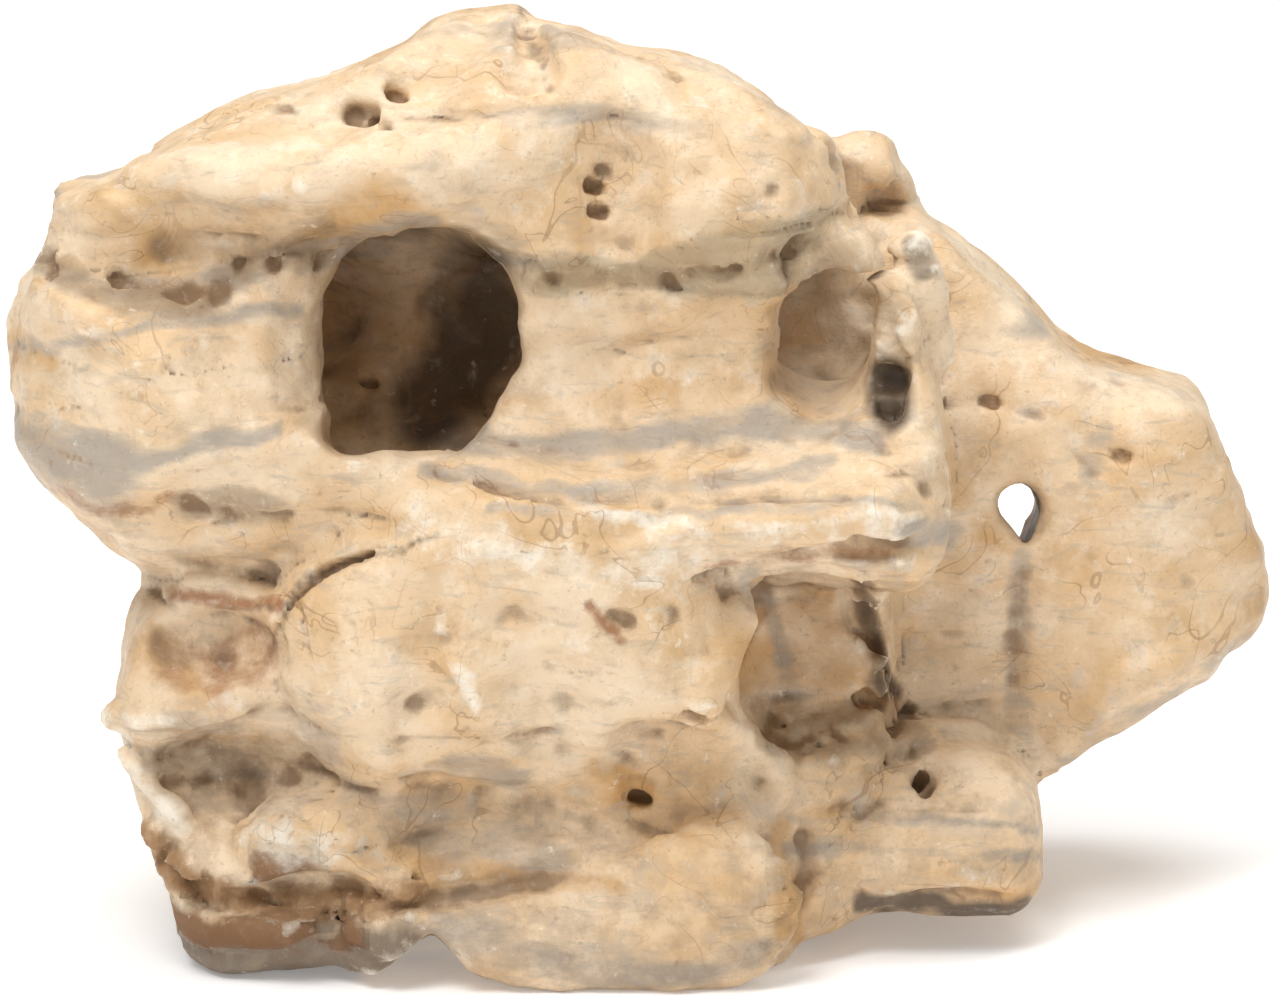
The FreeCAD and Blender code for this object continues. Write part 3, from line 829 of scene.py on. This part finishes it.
def cast_resin(name, pale, warm, light, stains_on, crumbly):
    """Stone powder in resin, hand-washed with thin coats of stain that settle along the beds,
    then sealed.
    Hollows, creases and undersides get painted shade. Worn edges show the pale chalky body.

    stains_on: (stain or painted shade, colour, how far noise breaks its edge, opacity) from the
    first coat up.
    crumbly: 0 for smooth cast stone, 1 for open granular compound.
    """
    material = bpy.data.materials.new(name)
    material.use_nodes = True
    tree = material.node_tree
    tree.nodes.clear()
    place = add(tree, "ShaderNodeTexCoord").outputs["Object"]
    level = add(tree, "ShaderNodeMapping", {"Vector": place, "Scale": (1, 1, 3.2)}).outputs[0]

    def noise(size, detail, vector=place, distortion=0.0, roughness=0.55):
        return add(tree, "ShaderNodeTexNoise", {
            "Vector": vector, "Scale": features(size), "Detail": detail,
            "Distortion": distortion, "Roughness": roughness}).outputs["Fac"]

    def between(value, low, high, to_low=0.0, to_high=1.0):
        return add(tree, "ShaderNodeMapRange", {
            "Value": value, "From Min": low, "From Max": high, "To Min": to_low,
            "To Max": to_high}).outputs["Result"]

    def over(base, colour, amount):
        return add(tree, "ShaderNodeMixRGB", {
            "Fac": amount, "Color1": base, "Color2": colour}).outputs["Color"]

    clouds = noise(26, 5, distortion=0.5)
    beds = noise(16, 6, level, distortion=0.3, roughness=0.6)
    mottle = noise(6, 6, roughness=0.65)
    grain = noise(1.3, 4, roughness=0.7)
    # The body: two creams in soft clouds, with chalky patches of unstained powder.
    colour = over(rgba(pale), rgba(warm), between(clouds, 0.40, 0.62))
    colour = over(colour, rgba(light), between(mottle, 0.52, 0.72, 0.0, 0.65))
    tan = noise(11, 7, roughness=0.7)
    colour = over(colour, rgba("#BE9C70"), between(tan, 0.5, 0.7, 0.0, 0.55))
    smears = noise(9, 7, level, distortion=0.8, roughness=0.68)
    colour = over(colour, rgba("#A99C8B"), between(smears, 0.53, 0.70, 0.0, 0.55))
    # The coats of stain and of painted shade. Bedding noise frays each edge the way a wash
    # dries.
    for stain, tint, fray, opacity in stains_on:
        here = add(tree, "ShaderNodeAttribute", attribute_name=stain).outputs["Fac"]
        pattern = {"grey": beds, "ochre": clouds, "painted_shadow": clouds}.get(stain, mottle)
        frayed = add(tree, "ShaderNodeMath", {0: pattern, 1: 2 * fray, 2: here},
                     operation="MULTIPLY_ADD").outputs[0]
        amount = between(frayed, fray + 0.25, fray + 0.95, 0.0, opacity)
        colour = over(colour, rgba(tint), amount)
    # Hairline cracks that have taken up the brown wash.
    for size, wide in ((42, 0.004), (21, 0.005)):
        wave = noise(size, 2, distortion=1.4, roughness=0.45)
        line = add(tree, "ShaderNodeMath", {0: wave, 1: 0.5, 2: wide},
                   operation="COMPARE").outputs[0]
        broken = add(tree, "ShaderNodeMath", {0: line, 1: between(clouds, 0.48, 0.60, 0, 0.42)},
                     operation="MULTIPLY").outputs[0]
        colour = over(colour, rgba("#8A6238"), broken)
    # Specks of darker filler, and open grains where the compound is coarse.
    flecks = noise(3.6, 6, roughness=0.75)
    colour = over(colour, rgba("#8A6A45"), between(flecks, 0.60, 0.70, 0.0, 0.42))
    colour = over(colour, rgba("#FBF3E4"), between(flecks, 0.38, 0.29, 0.0, 0.50))
    colour = over(colour, rgba("#8C6A48"), between(grain, 0.60, 0.70, 0.0, 0.32 + 0.3 * crumbly))
    crust = add(tree, "ShaderNodeAttribute", attribute_name="crust").outputs["Fac"]
    satin = between(mottle, 0.35, 0.65, *SEALED_ROUGHNESS)
    dull = add(tree, "ShaderNodeMath", {0: crust, 1: crumbly}, operation="MAXIMUM").outputs[0]
    roughness = add(tree, "ShaderNodeMix", {"Factor": dull, "A": satin, "B": BARE_ROUGHNESS},
                    data_type="FLOAT").outputs["Result"]
    # Relief too fine for the mesh: pores and tooling marks under a millimetre deep.
    fine = noise(2.4, 9, roughness=0.72)
    relief = add(tree, "ShaderNodeBump", {
        "Height": fine, "Strength": 0.55 + 0.35 * crumbly,
        "Distance": (0.8 + 0.8 * crumbly) * MM}).outputs["Normal"]
    shader = add(tree, "ShaderNodeBsdfPrincipled", {
        "Base Color": colour, "Roughness": roughness, "IOR": RESIN_IOR, "Normal": relief,
        "Subsurface Weight": 0.12, "Subsurface Radius": (1.0, 0.7, 0.45),
        "Subsurface Scale": 2.0 * MM})
    add(tree, "ShaderNodeOutputMaterial", {"Surface": shader.outputs["BSDF"]})
    return material


# The coats of stain and of painted shade on the pale stones, from the first brushed on to the
# last.
COATS = (
    # Ochre stains, and under the brow a painted shadow.
    ("ochre", "#C99B5E", 1.1, 0.75),
    ("grey", "#A0968A", 1.0, 0.80),
    # Painted shade: the left foot's dark grey.
    ("foot", "#75685A", 0.4, 0.92),
    ("grey_compound", "#AB9A7E", 0.8, 0.60),
    ("brown_compound", "#8F6440", 0.6, 0.90),
    # Rust stains, and under the shelf's lip a painted shadow.
    ("rust", "#9A6236", 1.0, 0.85),
    ("crust", "#A3855F", 1.1, 0.55),
    # Painted shade in hollows, creases, under overhangs and towards the floor.
    ("painted_shade", "#7B5C3C", 0.8, 0.75),
    # Painted shadow in the cave, the mouths, crevices, pits and under the ledges.
    ("painted_shadow", "#4A3D30", 0.9, 0.88),
    ("chip", "#F6EDDC", 1.2, 0.80),
)


MATERIALS = {}


def material_for(slot):
    if slot not in MATERIALS:
        crumbly = {"joint_compound_grey": 0.6, "joint_compound_brown": 1.0}.get(slot, 0.0)
        MATERIALS[slot] = cast_resin(slot, "#E6CEAE", "#DAB78A", "#F3E5CE", COATS, crumbly)
    return MATERIALS[slot]


def make_piece(name):
    """One stone's mesh from the rock, with its stain and painted shade, riding in the place of
    its CAD twin.
    """
    made = rock()
    points, faces = _rock["skins"][name]
    mesh = bpy.data.meshes.new(name)
    mesh.from_pydata((points * MM).tolist(), [], faces.tolist())
    mesh.update()
    mesh.polygons.foreach_set("use_smooth", np.ones(len(mesh.polygons), bool))
    normals = made.normal(points, made.step)
    mesh.normals_split_custom_set_from_vertices(normals.tolist())
    for stain, strength in stains_and_shade(made, points, normals).items():
        layer = mesh.attributes.new(stain, "FLOAT", "POINT")
        layer.data.foreach_set("value", strength.astype(np.float32))
    piece = bpy.data.objects.new(f"{name}_stone", mesh)
    bpy.context.scene.collection.objects.link(piece)
    slot = SLOTS.get(name, "cast_stone")
    mesh.materials.append(material_for(slot))
    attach(piece, "root")
    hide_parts(name)
    return piece


# ---------------------------------------------------------------- properties, operators, panel
class CaveOrnamentLook(bpy.types.PropertyGroup):
    grid_step: FloatProperty(name="Grid step", description="Distance between grid points",
                             default=1.15 * MM, unit="LENGTH", precision=5)
    edge_wear: FloatProperty(name="Edge wear", description="How far the facets are worn round",
                             default=3.0 * MM, unit="LENGTH", precision=5)


class Stones:
    """Builds each of its stones in turn."""

    stones = ()

    def execute(self, context):
        for name in self.stones:
            make_piece(name)
        return {"FINISHED"}


class OBJECT_OT_cave_cheek(Stones, bpy.types.Operator):
    """Build the two beds of the cheek, left of the cave's mouth"""

    bl_idname = "cave.cheek"
    bl_label = "Cheek"
    stones = ("cheek_stone", "cheek_cap")


class OBJECT_OT_cave_web(Stones, bpy.types.Operator):
    """Build the web between the two mouths and the long shelf below it"""

    bl_idname = "cave.web"
    bl_label = "Web and shelf"
    stones = ("web_stone", "shelf_stone")


class OBJECT_OT_cave_roof(Stones, bpy.types.Operator):
    """Build the boulder that roofs the cave"""

    bl_idname = "cave.roof"
    bl_label = "Roof boulder"
    stones = ("roof_boulder",)


class OBJECT_OT_cave_lower_boulder(Stones, bpy.types.Operator):
    """Build the big boulder under the shelf"""

    bl_idname = "cave.lower_boulder"
    bl_label = "Lower boulder"
    stones = ("lower_boulder",)


class OBJECT_OT_cave_bowl(Stones, bpy.types.Operator):
    """Build the hollowed stone at the lower left"""

    bl_idname = "cave.bowl"
    bl_label = "Bowl stone"
    stones = ("bowl_stone",)


class OBJECT_OT_cave_foot(Stones, bpy.types.Operator):
    """Build the dark foot"""

    bl_idname = "cave.foot"
    bl_label = "Left foot"
    stones = ("left_foot",)


class OBJECT_OT_cave_ledge(Stones, bpy.types.Operator):
    """Build the layered ledge at the lower right"""

    bl_idname = "cave.ledge"
    bl_label = "Right ledge"
    stones = ("right_ledge",)


class OBJECT_OT_cave_rear(Stones, bpy.types.Operator):
    """Build the slab with the window, and the buttress behind the boulders"""

    bl_idname = "cave.rear"
    bl_label = "Rear slab and buttress"
    stones = ("rear_slab", "rear_buttress")


class OBJECT_OT_cave_putty(Stones, bpy.types.Operator):
    """Build the beads of joint compound in the seams"""

    bl_idname = "cave.putty"
    bl_label = "Joint compound"
    stones = BEADS


# ---------------------------------------------------------------- the stage
FLOOR_HALF = 6.0
FLOOR_GLOW = 0.2
SKY_STRENGTH = 0.4
# Each soft lamp's name, place in metres, power in watts and width in metres.
LAMPS = (("key", (-0.45, -0.75, 1.45), 17, 0.7), ("top", (0.2, 0.15, 1.5), 13, 1.0))
LAMP_TARGET = Vector((0, 0, 0.09))
LENS, SENSOR = 500, 36
# What the frame is wide, in metres, at the ornament, and the v at its centre, in mm.
FRAME_WIDTH = 0.256
FRAME_CENTRE = 98.5


class OBJECT_OT_cave_stage(bpy.types.Operator):
    """Lay the pale floor, hang the soft lights and place the camera"""

    bl_idname = "cave.stage"
    bl_label = "Floor, lights and camera"

    def execute(self, context):
        scene = context.scene
        mesh = bpy.data.meshes.new("floor")
        far = FLOOR_HALF
        mesh.from_pydata([(-far, -far, 0), (far, -far, 0), (far, far, 0), (-far, far, 0)],
                         [], [(0, 1, 2, 3)])
        floor = bpy.data.objects.new("floor", mesh)
        scene.collection.objects.link(floor)
        paper = bpy.data.materials.new("studio_paper")
        paper.use_nodes = True
        shader = paper.node_tree.nodes["Principled BSDF"]
        shader.inputs["Base Color"].default_value = rgba("#FAFAFA")
        shader.inputs["Emission Color"].default_value = (1, 1, 1, 1)
        shader.inputs["Emission Strength"].default_value = FLOOR_GLOW
        shader.inputs["Roughness"].default_value = 0.9
        mesh.materials.append(paper)
        world = bpy.data.worlds.new("studio")
        world.use_nodes = True
        world.node_tree.nodes["Background"].inputs["Color"].default_value = (1, 1, 1, 1)
        world.node_tree.nodes["Background"].inputs["Strength"].default_value = SKY_STRENGTH
        scene.world = world
        scene.view_settings.view_transform = "Standard"
        for name, place, power, width in LAMPS:
            data = bpy.data.lights.new(name, "AREA")
            data.energy = power
            data.size = width
            lamp = bpy.data.objects.new(name, data)
            lamp.location = place
            aim = LAMP_TARGET - Vector(place)
            lamp.rotation_euler = aim.to_track_quat("-Z", "Y").to_euler()
            scene.collection.objects.link(lamp)
        camera = bpy.data.cameras.new("camera")
        camera.lens = LENS
        camera.sensor_width = SENSOR
        camera.clip_end = 50
        eye = bpy.data.objects.new("camera", camera)
        distance = FRAME_WIDTH * LENS / SENSOR
        target = Vector((0, 0, height_at(FRAME_CENTRE, 0) * MM))
        eye.location = target + distance * Vector((0, -COS, SIN))
        eye.rotation_euler = (math.radians(90) - SIGHT_UP, 0, 0)
        scene.collection.objects.link(eye)
        scene.camera = eye
        return {"FINISHED"}


class VIEW3D_PT_cave_ornament(bpy.types.Panel):
    bl_label = "Cave ornament"
    bl_space_type = "VIEW_3D"
    bl_region_type = "UI"
    bl_category = "Cave Ornament"

    def draw(self, context):
        for operator in OPERATORS:
            self.layout.operator(operator.bl_idname)


OPERATORS = (OBJECT_OT_cave_cheek, OBJECT_OT_cave_web, OBJECT_OT_cave_roof,
             OBJECT_OT_cave_lower_boulder, OBJECT_OT_cave_bowl, OBJECT_OT_cave_foot,
             OBJECT_OT_cave_ledge, OBJECT_OT_cave_rear, OBJECT_OT_cave_putty,
             OBJECT_OT_cave_stage)
CLASSES = (CaveOrnamentLook, *OPERATORS, VIEW3D_PT_cave_ornament)


def register():
    for item in CLASSES:
        bpy.utils.register_class(item)
    bpy.types.Scene.cave_ornament = PointerProperty(type=CaveOrnamentLook)


def unregister():
    del bpy.types.Scene.cave_ornament
    for item in reversed(CLASSES):
        bpy.utils.unregister_class(item)


def main():
    register()
    for build in (bpy.ops.cave.cheek, bpy.ops.cave.web, bpy.ops.cave.roof,
                  bpy.ops.cave.lower_boulder, bpy.ops.cave.bowl, bpy.ops.cave.foot,
                  bpy.ops.cave.ledge, bpy.ops.cave.rear, bpy.ops.cave.putty,
                  bpy.ops.cave.stage):
        build()


if __name__ == "__main__":
    main()
